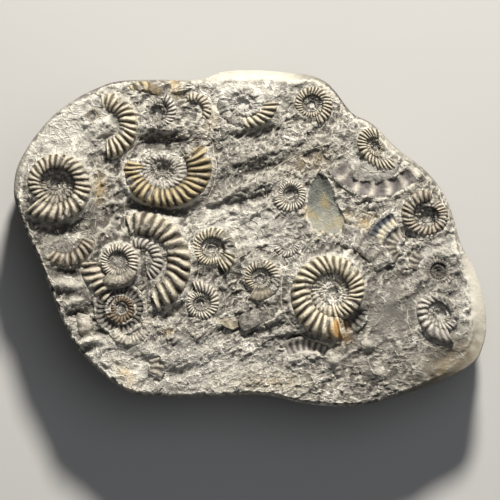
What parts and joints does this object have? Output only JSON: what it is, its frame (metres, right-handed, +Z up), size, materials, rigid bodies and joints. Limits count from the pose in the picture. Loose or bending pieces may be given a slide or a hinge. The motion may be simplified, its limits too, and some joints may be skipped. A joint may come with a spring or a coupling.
{
  "type": "ammonite fossil block",
  "caption": "Limestone block with a flat underside and a rugged upper face crowded with ribbed, coiled ammonite fossils and broken whorls.",
  "frame": {"origin": "middle of the bounding box at its lowest plane, on the surface the block lies on", "axes": "+X along the block's long way, +Y across it, +Z up out of the fossil-bearing face"},
  "size_m": [0.152, 0.112, 0.037],
  "materials": {
    "limestone": "rough, weathered fossil limestone, ground smooth at the rim",
    "cream_calcite": "cream calcite shell, dull, worn crests",
    "pale_calcite": "pale grey calcite shell, dull",
    "grey_calcite": "grey weathered calcite shell",
    "tan_calcite": "iron-stained tan calcite shell",
    "umber_calcite": "dark cream to umber calcite shell",
    "brown_calcite": "brown calcite shell",
    "olive_shell": "smooth olive-grey shell, faint sheen"
  },
  "bodies": {
    "root": {"limestone_matrix": "limestone", "ammonite_left_edge": "umber_calcite", "ammonite_second_largest": "cream_calcite", "ammonite_on_largest": "pale_calcite", "ammonite_brown_core": "brown_calcite", "ammonite_centre_left": "cream_calcite", "ammonite_centre": "pale_calcite", "ammonite_below_centre": "pale_calcite", "ammonite_top": "umber_calcite", "ammonite_top_right": "pale_calcite", "ammonite_right_shoulder": "umber_calcite", "ammonite_right": "brown_calcite", "ammonite_in_pit": "pale_calcite", "ammonite_right_rim": "grey_calcite", "ammonite_upper_middle": "pale_calcite", "ammonite_middle": "grey_calcite", "ammonite_small_top_left": "grey_calcite", "ammonite_weathered": "grey_calcite", "ammonite_worn_top": "grey_calcite", "ammonite_largest": "cream_calcite", "ammonite_tan": "tan_calcite", "ammonite_top_left": "tan_calcite", "whorl_left_of_largest": "tan_calcite", "whorl_pale": "pale_calcite", "whorl_right_of_middle": "grey_calcite", "whorl_strip": "cream_calcite", "whorl_top_edge": "cream_calcite", "whorl_left_rim": "umber_calcite", "shell_plate": "olive_shell"}
  },
  "joints": []
}
